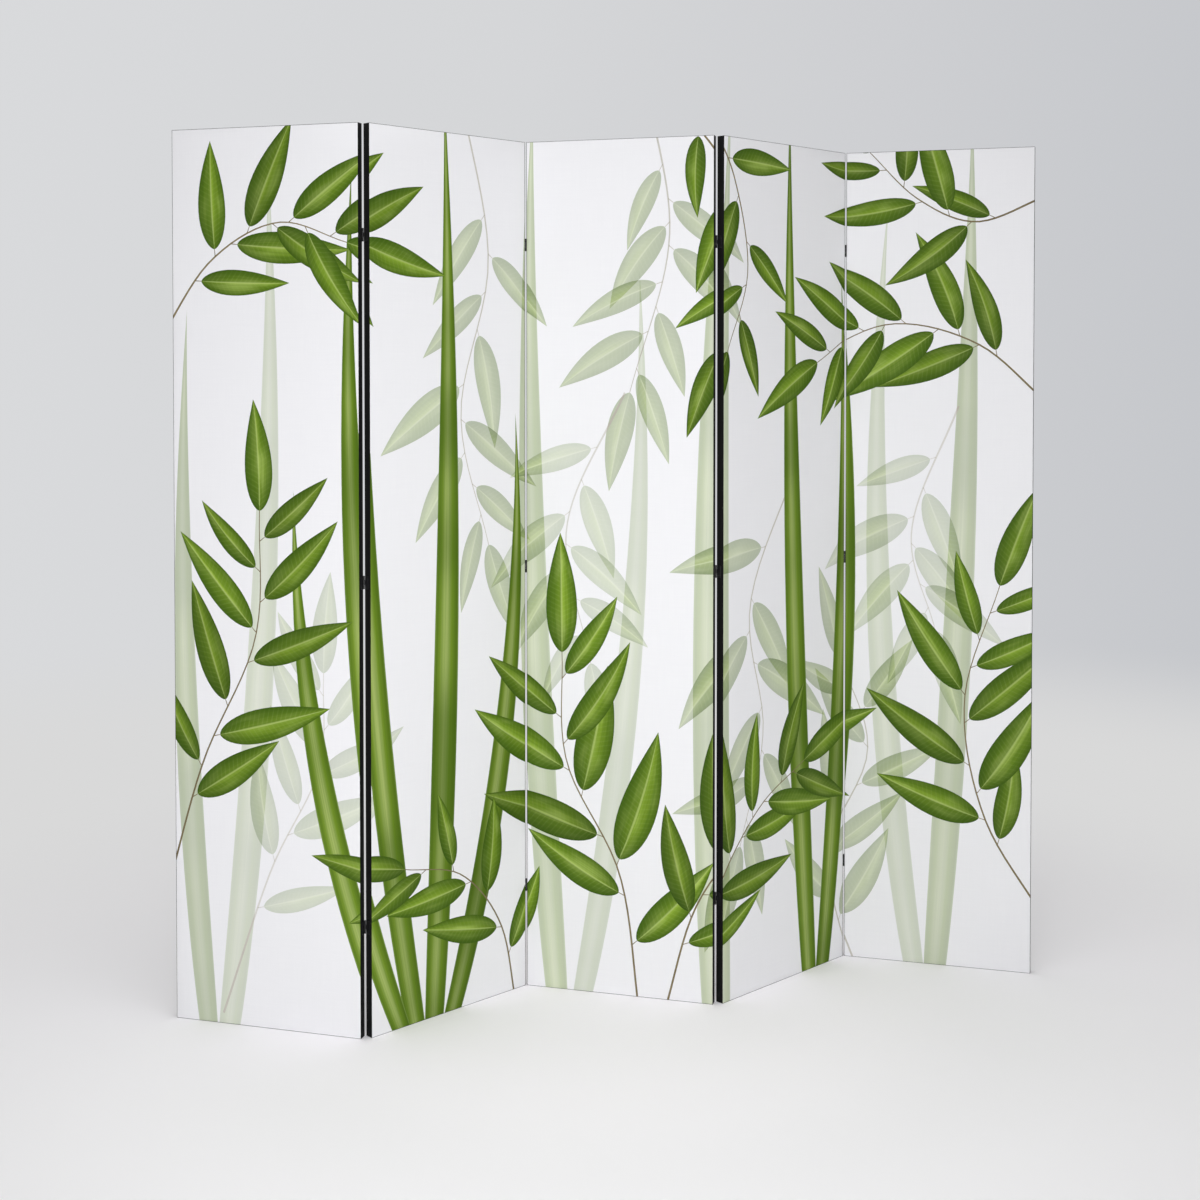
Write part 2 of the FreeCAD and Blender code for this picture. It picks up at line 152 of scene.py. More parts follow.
class Nodes:
    """The nodes of one material, or of the world."""

    def __init__(self, owner):
        owner.use_nodes = True
        self.material, self.tree = owner, owner.node_tree

    def feed(self, socket, value):
        if isinstance(value, Wire):
            self.tree.links.new(value.socket, socket)
        else:
            socket.default_value = value

    def node(self, kind, settings=None, inputs=None, output=0):
        """Adds a node: its settings first, then the values or wires of its sockets. Gives one output."""
        node = self.tree.nodes.new("ShaderNode" + kind)
        for name, value in (settings or {}).items():
            if name == "stops":
                stops = node.color_ramp.elements
                while len(stops) < len(value):
                    stops.new(0.5)
                for stop, (position, colour) in zip(stops, value):
                    stop.position, stop.color = position, colour
            else:
                setattr(node, name, value)
        for name, value in (inputs or {}).items():
            self.feed(node.inputs[name], value)
        return Wire(self, node.outputs[output]) if node.outputs else None

    def wires(self, wire):
        """All outputs of the node that a wire comes from, by name."""
        return {output.name: Wire(self, output) for output in wire.socket.node.outputs}

    def maths(self, operation, *values):
        return self.node("Math", {"operation": operation}, dict(enumerate(values)))


# %% Short names for the nodes that are used often


class Finish(Nodes):
    """Nodes, and what they are mostly asked for."""

    def mix(self, share, low, high):
        """A colour between two. Inputs 6 and 7 and output 2 are the Mix node's sockets for colours."""
        return self.node("Mix", {"data_type": "RGBA"}, {0: share, 6: low, 7: high}, 2)

    def fade(self, value, start, end, kind="SMOOTHSTEP"):
        """0 where the value is at start, 1 where it is at end, and no more or less beyond them."""
        between = {"Value": value, "From Min": start, "From Max": end}
        return self.node("MapRange", {"interpolation_type": kind}, between)

    def ramp(self, place, stops):
        return self.node("ValToRGB", {"stops": stops}, {0: place})

    def vector(self, x, y, z=0.0):
        return self.node("CombineXYZ", {}, {0: x, 1: y, 2: z})

    def split(self, vector):
        return self.wires(self.node("SeparateXYZ", {}, {0: vector})).values()

    def noise(self, vector, detail, scale=1.0):
        return self.node("TexNoise", {}, {"Vector": vector, "Scale": scale, "Detail": detail})

    def bump(self, height, strength, distance):
        return self.node("Bump", {}, {"Strength": strength, "Distance": distance, "Height": height})

    def surface(self, sockets):
        shader = self.tree.nodes["Principled BSDF"]
        for name, value in sockets.items():
            self.feed(shader.inputs[name], value)
        print(self.material.name, "has", len(self.tree.nodes), "nodes")
        return self


# %% Colours, and a new material


def srgb(*levels):
    """A colour as a picture program gives it, 0 to 255, in the linear numbers that shaders use."""
    shares = [level / 255 for level in levels]
    linear = [share / 12.92 if share <= 0.04045 else ((share + 0.055) / 1.055) ** 2.4 for share in shares]
    return (*linear, 1.0)


def new_finish(name):
    return Finish(bpy.data.materials.new(name))


print("the middle grey of a picture, 128, is", round(srgb(128)[0], 3), "to a shader")

# %% [markdown]
# ## Camera and studio
#
# The picture was taken from a little left of the middle, with the camera almost level and the lens
# shifted down, so that upright edges stay upright. The place and the turn of the camera were fitted to
# the corners of all five panels. A shifted lens also shifts the object in every other view, so part of
# the shift is a small tilt instead.

# %% The camera
LENS, SENSOR_WIDTH, LENS_SHIFT = 50, 36, -0.16
CAMERA_PLACE = (-0.8486, -3.1909, 1.2466)
CAMERA_TURN, CAMERA_TILT = math.radians(-14.212), math.radians(-1.34)
camera_data = bpy.data.cameras.new("camera")
camera_data.lens, camera_data.sensor_width, camera_data.shift_y = LENS, SENSOR_WIDTH, LENS_SHIFT
camera = new_object("camera", camera_data)
camera_turned = Matrix.Rotation(CAMERA_TURN, 4, "Z") @ Matrix.Rotation(math.pi / 2 + CAMERA_TILT, 4, "X")
camera.matrix_world = Matrix.Translation(CAMERA_PLACE) @ camera_turned
bpy.context.scene.camera = camera
bpy.context.scene.view_settings.view_transform = "Standard"
print("the camera stands", round(Vector(CAMERA_PLACE).length, 2), "m from the middle of the row")

# %% [markdown]
# The background is a pale sweep. What lights the object is kept apart from what the camera sees behind
# it: the Light Path node tells a ray that comes from the camera, or is mirrored or let through on its
# way, from one that lights a surface. The colour behind the screen is painted darker from left to right:
# painted shade, where the light falls off.

# %% The colour behind the screen
# Painted shade: the sweep gets darker towards the right.
SWEEP_STOPS = [
    (0.40, srgb(218, 219, 221)),
    (0.60, srgb(213, 214, 216)),
    (0.70, srgb(206, 207, 210)),
    (0.80, srgb(196, 198, 202)),
]


def sweep_colour(finish, direction):
    """The sweep's colour in one direction, whose x runs from -1 to 1."""
    x, _, _ = finish.split(direction)
    return finish.ramp(x * 0.5 + 0.5, SWEEP_STOPS)


def seen(finish):
    """1 on a ray on which the background itself is seen, 0 on one that lights a surface."""
    path = finish.wires(finish.node("LightPath"))
    looked_at = finish.maths("MAXIMUM", path["Is Camera Ray"], path["Is Glossy Ray"])
    return finish.maths("MAXIMUM", looked_at, path["Is Transmission Ray"])


print("the sweep has", len(SWEEP_STOPS), "colours")

# %% [markdown]
# Light from a white ceiling is strong overhead and weak from the sides. A world that grows brighter with
# the height of its direction gives that with no lamps, and its shadows have no edge.

# %% The world
LEVEL_LIGHT, OVERHEAD_LIGHT = 0.01, 1.01
WHITE_LIGHT = (1.0, 1.0, 1.0, 1.0)
world = bpy.data.worlds.new("studio")
bpy.context.scene.world = world
sky = Finish(world)
sky.tree.nodes.clear()
direction = sky.node("TexCoord", output="Generated")
behind = sky.node("Background", {}, {"Color": sweep_colour(sky, direction), "Strength": 1.0})
_, _, rise = sky.split(direction)
strength = sky.maths("MAXIMUM", rise, 0.0) * OVERHEAD_LIGHT + LEVEL_LIGHT
around = sky.node("Background", {}, {"Color": WHITE_LIGHT, "Strength": strength})
sky.node("OutputWorld", {}, {0: sky.node("MixShader", {}, {0: seen(sky), 1: around, 2: behind})})
print("the world's light is", LEVEL_LIGHT, "from the side,", LEVEL_LIGHT + OVERHEAD_LIGHT, "from overhead")

# %% [markdown]
# The floor takes the screen's soft shadow. Its colour is painted paler by the feet, where it faces the
# cloth: a painted pool of light. Further out it fades in two steps: first into a plain pale grey, which is
# what an endless studio floor looks like, and then into the colour behind, so no horizon shows. All of
# that is in its material, so the floor itself is one large disc.

# %% The floor's finish
# Within these distances of the middle the floor's colour is painted paler: a painted pool of light by the
# feet.
LIGHT_POOL_FROM, LIGHT_POOL_TO = 0.4, 0.8
GREY_FROM, GREY_TO = 0.9, 2.1
SWEEP_FROM, SWEEP_TO = 2.5, 4.9
PAINTED_LIGHT_FLOOR, NEAR_FLOOR, FAR_FLOOR = srgb(252, 250, 253), srgb(245, 244, 246), srgb(217, 217, 217)
UNDER_CAMERA = (-0.85, -3.2, 0.0)
floor_finish = new_finish("floor")
place = floor_finish.node("TexCoord", output="Object")
distance = floor_finish.node("VectorMath", {"operation": "LENGTH"}, {0: place}, "Value")
painted_light_share = floor_finish.fade(distance, LIGHT_POOL_FROM, LIGHT_POOL_TO)
to_grey = floor_finish.fade(distance, GREY_FROM, GREY_TO)
to_sweep = floor_finish.fade(distance, SWEEP_FROM, SWEEP_TO)
# Paler by the feet than further out: a painted pool of light in the floor's colour.
floor_colour = floor_finish.mix(painted_light_share, PAINTED_LIGHT_FLOOR, NEAR_FLOOR)
outward = floor_finish.node("VectorMath", {"operation": "SUBTRACT"}, {0: place, 1: UNDER_CAMERA})
outward = floor_finish.node("VectorMath", {"operation": "NORMALIZE"}, {0: outward})
# Far out the floor takes the sweep's colour, with its painted shade towards the right.
far_colour = floor_finish.mix(to_sweep, FAR_FLOOR, sweep_colour(floor_finish, outward))
glow = floor_finish.node("Emission", {}, {"Color": far_colour})
shaded = Wire(floor_finish, floor_finish.tree.nodes["Principled BSDF"].outputs[0])
faded = floor_finish.node("MixShader", {}, {0: to_grey * seen(floor_finish), 1: shaded, 2: glow})
floor_finish.feed(floor_finish.tree.nodes["Material Output"].inputs[0], faded)
floor_finish.surface({"Base Color": floor_colour, "Roughness": 0.9, "Specular IOR Level": 0.1})

# %% The floor
FLOOR_RADIUS, FLOOR_SIDES = 90.0, 96
shape = bmesh.new()
bmesh.ops.create_circle(shape, cap_ends=True, radius=FLOOR_RADIUS, segments=FLOOR_SIDES)
mesh_object("floor", shape, floor_finish)
print("the floor reaches", FLOOR_RADIUS, "m out")

# %% [markdown]
# Most of the light comes from overhead. One soft lamp beside the camera makes the panels that face left a
# little brighter than the others, which is what shows the zigzag, and its shadow falls behind the screen,
# to the right. A narrower spread, like a grid on the lamp, keeps its light off the floor under it. A
# weaker lamp from above lifts the floor right before the feet.

# %% The lamps


def add_lamp(name, place, target, size, watts, spread):
    data = bpy.data.lights.new(name, "AREA")
    data.shape, data.size, data.energy, data.spread = "DISK", size, watts, math.radians(spread)
    lamp = new_object(name, data)
    aim = (Vector(target) - Vector(place)).to_track_quat("-Z", "Y").to_matrix().to_4x4()
    lamp.matrix_world = Matrix.Translation(place) @ aim
    print("the", name, "lamp has", watts, "watts at", place)


add_lamp("key", place=(-0.95, -2.9, 0.85), target=(-0.1, 0.0, 0.92), size=0.9, watts=14.3, spread=115)
add_lamp("top", place=(-0.35, -0.9, 3.3), target=(-0.25, -0.5, 0.0), size=1.2, watts=3.6, spread=90)

# %% [markdown]
# ## The print
#
# The canvas carries a botanical print in greens: tall sword leaves, and twigs with broad leaves, some
# strong and some pale as if far away. It could be a picture on an image texture, but a shape drawn as
# geometry keeps a crisp outline at any distance. So each leaf is a small object of its own: a centre
# line, and how far it reaches to each side of that line. The same line later tells the shader where the
# midrib and the veins run.

# %% One painted shape
LEAF, BLADE, TWIG = 0, 1, 2
LEAST_REACH = 1e-5
chance = random.Random(11)


class Motif:
    FINE = 160

    def __init__(self, kind, line, reach, ink):
        self.kind, self.ink, self.tone = kind, ink, chance.uniform(-1, 1)
        self.line, self.reach = np.array(line), np.array(reach)
        way = np.gradient(self.line, axis=0)
        way /= np.linalg.norm(way, axis=1)[:, None]
        self.side = np.stack([-way[:, 1], way[:, 0]], axis=1)
        steps = np.linalg.norm(np.diff(self.line, axis=0), axis=1)
        along = np.concatenate([[0], np.cumsum(steps)])
        self.fine_along = np.linspace(0, along[-1], self.FINE)
        rows = (*self.line.T, *self.side.T, self.reach)
        fine = [np.interp(self.fine_along, along, row) for row in rows]
        self.fine_line, self.fine_side = np.stack(fine[:2], axis=1), np.stack(fine[2:4], axis=1)
        self.fine_reach = np.maximum(fine[4], LEAST_REACH)

    def outline(self):
        """The points of the edge, anticlockwise: up the right side and back down the left."""
        offset = self.side * self.reach[:, None]
        right, left = self.line - offset, (self.line + offset)[::-1]
        first, last = self.reach[0] == 0, self.reach[-1] == 0
        return np.concatenate([right, left[int(last):len(left) - int(first)]])

    def read(self, points):
        """For each point, the metres along the centre line, and the place across from -1 to 1."""
        nearest = np.linalg.norm(points[:, None] - self.fine_line[None], axis=2).argmin(axis=1)
        offset = points - self.fine_line[nearest]
        across = (offset * self.fine_side[nearest]).sum(axis=1) / self.fine_reach[nearest]
        return np.stack([self.fine_along[nearest], np.clip(across, -1, 1)], axis=1)


print("a point on a shape is looked up among", Motif.FINE, "places along its centre line")

# %% [markdown]
# A leaf is given by its foot, its direction and its length. Its width comes from a power of the share
# from foot to tip times a power of what is left, which is zero at both ends: the two powers say where it
# is fullest and how pointed its ends are. A sword leaf keeps its width for most of its height, and a twig
# runs evenly thinner.

# %% Broad leaves and sword leaves
LEAF_POINTS, BLADE_POINTS = 23, 36
BLADES_START = -0.02  # just below the picture


def shares(count):
    """Shares from 0 to 1, closer together towards both ends."""
    return (1 - np.cos(np.linspace(0, math.pi, count))) / 2


def leaf(foot, heading, length, width, ink, bend):
    share = shares(LEAF_POINTS)
    way = np.array([math.cos(heading), math.sin(heading)])
    side = np.array([-way[1], way[0]])
    line = foot + np.outer(share, way) * length + np.outer(share**2, side) * length * bend
    swell = share**0.62 * (1 - share) ** 1.05
    return Motif(LEAF, line, width / 2 * swell / swell.max(), ink)


def blade(foot, tip, width, ink, bow):
    foot, tip = np.array((foot, BLADES_START)), np.array(tip)
    share = shares(BLADE_POINTS)
    across = np.array([-(tip - foot)[1], (tip - foot)[0]])
    line = foot + np.outer(share, tip - foot) + np.outer(share * (1 - share) * 4, across) * bow
    swell = (0.7 + 0.3 * np.sin(math.pi * share**0.7)) * (1 - share**3.5) ** 1.15
    return Motif(BLADE, line, width / 2 * swell / swell.max(), ink)


print("a leaf's points lie closest at its ends:", shares(LEAF_POINTS)[:4].round(3))

# %% Twigs
TWIG_POINTS, STALK_POINTS = 26, 4


def smooth_line(points, count):
    """Points along a smooth curve through the given ones: a cubic for each stretch between two."""
    points = np.array(points, float)
    given = np.concatenate([[2 * points[0] - points[1]], points, [2 * points[-1] - points[-2]]])
    line = []
    for place in np.linspace(0, len(points) - 1 - 1e-9, count):
        t = place % 1
        a, b, c, d = given[int(place):int(place) + 4]
        square, cube = 2 * a - 5 * b + 4 * c - d, 3 * b - a - 3 * c + d
        line.append(0.5 * (2 * b + (c - a) * t + square * t**2 + cube * t**3))
    return np.array(line)


def twig(points, thick, thin, ink, count=TWIG_POINTS):
    return Motif(TWIG, smooth_line(points, count), np.linspace(thick, thin, count) / 2, ink)


# %% [markdown]
# On a twig the leaves stand by turns on the left and the right, each on a short stalk, and one more ends
# it. Their angle, size and bend vary a little. The random numbers come from a seeded generator, so every
# run draws the same.

# %% A branch: a twig with its leaves
STEM_THICK, STEM_THIN = 0.0042, 0.0016
STALK_LENGTH, STALK_THICK, STALK_THIN = 0.014, 0.0018, 0.0012
LEAF_TURNS, LEAF_BENDS = (36, 58), (0.02, 0.16)


def branch(points, leaves, length, ink, bare=0.25, width=0.27):
    """A twig with leaves from the share bare of its length on. Their width is a share of their length."""
    stem = twig(points, STEM_THICK, STEM_THIN, ink)
    shapes, line, last = [stem], stem.line, len(stem.line) - 1
    for number in range(leaves):
        index = round((bare + (1 - bare) * number / leaves) * last)
        ahead = line[min(index + 1, last)] - line[max(index - 1, 0)]
        side = 1 if number % 2 else -1
        heading = math.atan2(ahead[1], ahead[0]) + side * math.radians(chance.uniform(*LEAF_TURNS))
        size = length * (1.08 - 0.45 * abs(number / leaves - 0.35)) * chance.uniform(0.88, 1.12)
        foot = line[index] + STALK_LENGTH * np.array([math.cos(heading), math.sin(heading)])
        stalk = [line[index], (line[index] + foot) / 2, foot]
        shapes.append(twig(stalk, STALK_THICK, STALK_THIN, ink, STALK_POINTS))
        bend = -side * chance.uniform(*LEAF_BENDS)
        shapes.append(leaf(foot, heading, size, size * width * chance.uniform(0.9, 1.1), ink, bend))
    ahead = line[last] - line[last - 2]
    heading = math.atan2(ahead[1], ahead[0])
    shapes.append(leaf(line[last], heading, length, length * width, ink, chance.uniform(-0.08, 0.08)))
    return shapes


print("a leaf turns from its twig by", LEAF_TURNS, "degrees")

# %% [markdown]
# The print runs on across all five panels. Its places are metres from the lower left corner of panel 1,
# with later shapes over earlier ones: first the pale ones, then the strong ones. The ink is the share of
# the full colour.

# %% The pale shapes at the back
PALE, SOFT, STRONG = 0.21, 0.33, 1.0
picture = [
    blade(0.07, (0.03, 1.36), 0.050, SOFT, 0.02),
    blade(0.11, (0.20, 1.66), 0.058, PALE, -0.02),
    blade(0.83, (0.78, 1.80), 0.060, SOFT, 0.015),
    blade(0.88, (1.00, 1.44), 0.052, PALE, -0.03),
    blade(1.15, (1.17, 1.80), 0.058, SOFT, 0.012),
    blade(1.68, (1.62, 1.60), 0.054, PALE, 0.03),
    blade(1.72, (1.79, 1.80), 0.060, SOFT, -0.01),
    *branch([(0.60, 1.78), (0.67, 1.46), (0.60, 1.16), (0.67, 0.90)], 9, 0.21, SOFT),
    *branch([(1.02, 1.78), (1.06, 1.50), (0.98, 1.20)], 8, 0.20, SOFT),
    *branch([(0.10, 0.02), (0.20, 0.30), (0.30, 0.50), (0.31, 0.68)], 8, 0.19, PALE),
    *branch([(1.38, 1.06), (1.23, 0.78), (1.27, 0.52), (1.20, 0.30)], 8, 0.21, SOFT, 0.2),
    *branch([(1.56, -0.03), (1.49, 0.20), (1.58, 0.44), (1.52, 0.64)], 8, 0.21, SOFT, 0.15),
    *branch([(0.97, 1.20), (0.85, 0.93), (0.90, 0.66)], 7, 0.19, PALE, 0.2),
    *branch([(1.765, 1.17), (1.67, 0.91), (1.72, 0.70)], 7, 0.20, PALE, 0.2),
]
print(len(picture), "pale shapes")

# %% The strong shapes at the front
picture += [
    blade(0.49, (0.37, 1.62), 0.056, STRONG, 0.03),
    blade(0.53, (0.56, 1.80), 0.060, STRONG, -0.012),
    blade(0.46, (0.25, 1.02), 0.050, STRONG, 0.05),
    blade(0.57, (0.74, 1.16), 0.052, STRONG, -0.05),
    blade(1.42, (1.35, 1.80), 0.060, STRONG, 0.012),
    blade(1.46, (1.52, 1.44), 0.056, STRONG, -0.025),
    *branch([(-0.03, 1.30), (0.08, 1.45), (0.22, 1.52), (0.36, 1.48)], 8, 0.21, STRONG),
    *branch([(-0.02, 0.24), (0.06, 0.50), (0.17, 0.74), (0.18, 0.98)], 9, 0.21, STRONG),
    *branch([(1.00, -0.03), (0.96, 0.24), (0.85, 0.46), (0.84, 0.68)], 9, 0.24, STRONG, 0.18),
    *branch([(1.05, -0.03), (1.12, 0.20), (1.25, 0.36), (1.40, 0.44)], 9, 0.22, STRONG, 0.2),
    *branch([(0.74, -0.03), (0.70, 0.14), (0.60, 0.26), (0.46, 0.30)], 6, 0.18, STRONG, 0.2),
    *branch([(1.94, 1.18), (1.80, 1.30), (1.62, 1.34), (1.44, 1.26)], 9, 0.22, STRONG),
    *branch([(1.94, 1.60), (1.80, 1.55), (1.68, 1.60), (1.58, 1.70)], 6, 0.19, STRONG),
    *branch([(1.94, 0.12), (1.82, 0.32), (1.78, 0.56), (1.85, 0.80)], 9, 0.22, STRONG),
    *branch([(1.10, 1.74), (1.18, 1.62), (1.22, 1.44), (1.16, 1.28)], 6, 0.18, STRONG, 0.1),
]
print(len(picture), "painted shapes")

# %% [markdown]
# ## Cutting the canvas along the print
#
# A sheet that is cut along every outline can give each bit its own colour with no picture at all. Blender
# has a function for that, a constrained triangulation: it is given the rectangle of the canvas and all
# the outlines, and gives back triangles that never cross a line, each with a list of the shapes that it
# lies in. The front one of those shapes gives the triangle its ink.

# %% The outlines that reach one panel
CANVAS_HALF = PANEL_WIDTH / 2 - STRIP
TURN_RADIUS = 0.0006
FLAT_HALF = CANVAS_HALF - TURN_RADIUS
FLAT_FOOT, FLAT_TOP = STRIP + TURN_RADIUS, PANEL_HEIGHT - STRIP - TURN_RADIUS


def panel_middle(panel):
    """The foot of the panel's middle line, in the picture's own places."""
    return np.array([(panel - 0.5) * PANEL_WIDTH, 0.0])


def lines_on(panel):
    """Points in the panel's places, midribs as pairs of them, outlines as loops, and the shapes."""
    left, right = -FLAT_HALF, FLAT_HALF
    points = [(left, FLAT_FOOT), (right, FLAT_FOOT), (right, FLAT_TOP), (left, FLAT_TOP)]
    ribs, outlines, used = [], [range(4)], []
    for motif in picture:
        outline = motif.outline() - panel_middle(panel)
        if outline[:, 0].max() < left or outline[:, 0].min() > right:
            continue
        outlines.append(range(len(points), len(points) + len(outline)))
        points += outline.tolist()
        if motif.kind != TWIG:
            midrib = (motif.line[1:-1] - panel_middle(panel)).tolist()
            ribs += [(len(points) + step, len(points) + step + 1) for step in range(len(midrib) - 1)]
            points += midrib
        used.append(motif)
    return points, ribs, outlines, used


for panel in PANELS:
    print("panel", panel, "shows", len(lines_on(panel)[3]), "of the painted shapes")

# %% Cut the front along them
TO_THE_HULL, SAME_POINT = 0, 1e-7


def cut_front(panel):
    """Points, the shapes used, and each triangle with its front shape's number and its share of ink."""
    points, ribs, outlines, used = lines_on(panel)
    points = [Vector(point) for point in points]
    cut = delaunay_2d_cdt(points, ribs, outlines, TO_THE_HULL, SAME_POINT)
    places, triangles, owners = cut[0], cut[2], cut[5]
    kept = []
    for triangle, inside in zip(triangles, owners):
        if 0 not in inside:  # outline 0 is the canvas itself
            continue
        over = [number - 1 for number in inside if number]
        strong = [number for number in over if used[number].ink == STRONG]
        white = math.prod(1 - used[number].ink for number in over)
        kept.append((triangle, max(strong or over, default=-1), 1 - white))
    return places, used, kept


# %% [markdown]
# The canvas is one sheet: the front, the edges that are turned back over the wooden frame, and the
# inside. After the front is cut, its border is extruded again and again: round the edge of the frame in
# two small steps, back along the side, in by the thickness of the cloth, and forward again along the
# inside. A last face closes the inside, so the sheet has a real thickness everywhere.

# %% Turn the edges of the canvas back
FRONT_AT, RETURN_TO = -PANEL_THICKNESS / 2, PANEL_THICKNESS / 2 - CLOTH
ON_BORDER = 1e-6


def verts_of(made):
    """The vertices among the new parts that an extrusion gives."""
    return [item for item in made if isinstance(item, bmesh.types.BMVert)]


def border_step(shape, border, grow, back):
    """Extrudes the border, moves it out by grow and to the depth back, and gives the new border."""
    edges, half_width, half_height = border
    made = bmesh.ops.extrude_edge_only(shape, edges=edges)["geom"]
    for vert in verts_of(made):
        rise = vert.co.z - PANEL_HEIGHT / 2
        if abs(abs(vert.co.x) - half_width) < ON_BORDER:
            vert.co.x += grow * math.copysign(1, vert.co.x)
        if abs(abs(rise) - half_height) < ON_BORDER:
            vert.co.z += grow * math.copysign(1, rise)
        vert.co.y = back
    edges = [item for item in made if isinstance(item, bmesh.types.BMEdge)]
    return edges, half_width + grow, half_height + grow


def turn_back(shape):
    """Gives a cut front its turned edges and its inside. Gives back the faces that carry the print."""
    slope = TURN_RADIUS * math.sqrt(0.5)
    border = [edge for edge in shape.edges if edge.is_boundary], FLAT_HALF, FLAT_TOP - PANEL_HEIGHT / 2
    border = border_step(shape, border, slope, FRONT_AT + TURN_RADIUS - slope)
    border = border_step(shape, border, TURN_RADIUS - slope, FRONT_AT + TURN_RADIUS)
    printed = set(shape.faces)
    border = border_step(shape, border, 0, RETURN_TO)
    border = border_step(shape, border, -CLOTH, RETURN_TO)
    border = border_step(shape, border, 0, FRONT_AT + CLOTH)
    bmesh.ops.edgeloop_fill(shape, edges=border[0])
    bmesh.ops.recalc_face_normals(shape, faces=shape.faces)
    return printed


print("the canvas is turned back by", round((RETURN_TO - FRONT_AT) * 1000, 2), "mm")

# %% [markdown]
# The shader has to know where it is on the cloth and on the painted shape. So the sheet gets two UV maps:
# one that runs on over the turned edges, for the weave, and one that holds the two places that a shape
# reads for a point. What is the same all over a face, its ink, kind and tone, goes into attributes of the
# face.

# %% Build the canvas of one panel


def map_print(shape, printed, front, used, motif_map, middle):
    """Writes into the map how far along and across its front shape each corner of a printed face lies."""
    corners = {}
    for face in shape.faces:
        if face in printed and face[front] >= 0:
            corners.setdefault(face[front], []).extend(face.loops)
    for number, loops in corners.items():
        points = np.array([(loop.vert.co.x, loop.vert.co.z) for loop in loops]) + middle
        for loop, place in zip(loops, used[number].read(points)):
            loop[motif_map].uv = place


def build_canvas(panel, finish):
    places, used, kept = cut_front(panel)
    shape = bmesh.new()
    front = shape.faces.layers.int.new("front_shape")
    ink, kind, tone = [shape.faces.layers.float.new(name) for name in ("ink", "kind", "tone")]
    cloth, motif_map = [shape.loops.layers.uv.new(name) for name in ("cloth", "motif")]
    verts = [shape.verts.new((x, FRONT_AT, z)) for x, z in places]
    for triangle, number, strength in kept:
        face = shape.faces.new([verts[index] for index in triangle])
        face[front], face[ink] = number, strength
    bmesh.ops.delete(shape, geom=[vert for vert in verts if not vert.link_faces], context="VERTS")

    printed = turn_back(shape)
    for face in shape.faces:
        if face not in printed:
            face[front], face[ink] = -1, 0.0
        if face[front] >= 0:
            face[kind], face[tone] = used[face[front]].kind, used[face[front]].tone
        for loop in face.loops:
            x, y, z = loop.vert.co
            loop[cloth].uv = (x + y, z) if abs(face.normal.z) < 0.5 else (x, z + y)
    map_print(shape, printed, front, used, motif_map, panel_middle(panel))
    shape.faces.layers.int.remove(front)
    print("canvas", panel, "has", len(shape.faces), "faces")
    return add_piece(
        f"canvas_{panel}", shape, panel, f"panel_{panel}_front_canvas", finish
    )


# %% [markdown]
# ## The finish of the canvas
#
# Cotton canvas shows its weave from close by: threads that pass over and under each other, a little
# uneven. A sine across and one upwards, multiplied, give that checkered rise and fall, and stretched
# noise makes some threads thicker. It goes into a Bump node, with a small distance, because a print fills
# the weave.

# %% A woven cloth
THREADS_PER_METRE = 1500
ACROSS_THREADS, ALONG_THREADS = 500, 12
WEAVE_DEPTH = 0.00012


def weave(finish, strength):
    """How thick the threads are, which varies from place to place, and the normal of the cloth."""
    u, v, _ = finish.split(finish.node("UVMap", {"uv_map": "cloth"}))
    over, under = [finish.maths("SINE", place * (math.pi * THREADS_PER_METRE)) for place in (u, v)]
    upright = finish.noise(finish.vector(u * ACROSS_THREADS, v * ALONG_THREADS), 1.0)
    level = finish.noise(finish.vector(u * ALONG_THREADS, v * ACROSS_THREADS), 1.0)
    height = over * under * 0.35 + upright + level
    return upright * level, finish.bump(height, strength, WEAVE_DEPTH)


print("two threads lie", round(1000 / THREADS_PER_METRE, 2), "mm apart")

# %% [markdown]
# The inks are worked out from two coordinates of the painted shape: how far along its centre line a spot
# lies, and how far across, from -1 at one edge to 1 at the other. A leaf is darkest at its edge, lighter
# towards the midrib, with side veins that run forward to the edge. A sword leaf has a broad pale band and
# long fine streaks. In each formula a share from 0 to 1 says how much of the next colour covers the last
# one, as a painter's layers do.

# %% What the inks read
paint = new_finish("printed canvas")
along, across, _ = paint.split(paint.node("UVMap", {"uv_map": "motif"}))
ink, kind, tone = [
    paint.node("Attribute", {"attribute_name": name}, output="Fac") for name in ("ink", "kind", "tone")
]
out = abs(across)
print("before the inks there are", len(paint.tree.nodes), "nodes")

# %% The leaf ink
VEINS_APART, VEIN_LEAN = 0.010, 1.5
leaf_ink = paint.ramp(out, [
    (0.0, srgb(146, 172, 64)),
    (0.20, srgb(122, 152, 42)),
    (0.62, srgb(92, 122, 24)),
    (1.0, srgb(60, 88, 6)),
])
patch = paint.fade(paint.noise(paint.vector(along * 14, across * 1.4, tone * 9), 1.0), 0.42, 0.72)
leaf_ink = paint.mix(patch * (1 - out) * 0.8, leaf_ink, srgb(166, 188, 96))
foot = paint.fade(along, 0.07, 0.0, "LINEAR")
leaf_ink = paint.mix(foot * 0.75, leaf_ink, srgb(50, 78, 4))
shaded_half = paint.fade(across, -0.03, 0.03)
leaf_ink = paint.mix(shaded_half * 0.45, leaf_ink, srgb(50, 80, 6))
phase = (along / VEINS_APART - out * VEIN_LEAN) * (2 * math.pi)
vein = (paint.maths("COSINE", phase) * 0.5 + 0.5) ** 6
leaf_ink = paint.mix(vein * (1 - out * 0.8) * 0.12, leaf_ink, srgb(178, 198, 112))
brush = paint.noise(paint.vector(along * 5, across * 8, tone * 11), 2.0)
leaf_ink = paint.mix(paint.fade(brush, 0.38, 0.66, "LINEAR") * 0.32, leaf_ink, srgb(62, 94, 12))
midrib = paint.fade(out, 0.075, 0.03, "LINEAR")
leaf_ink = paint.mix(midrib * 0.6, leaf_ink, srgb(172, 192, 112))
print("with the leaf ink there are", len(paint.tree.nodes), "nodes")

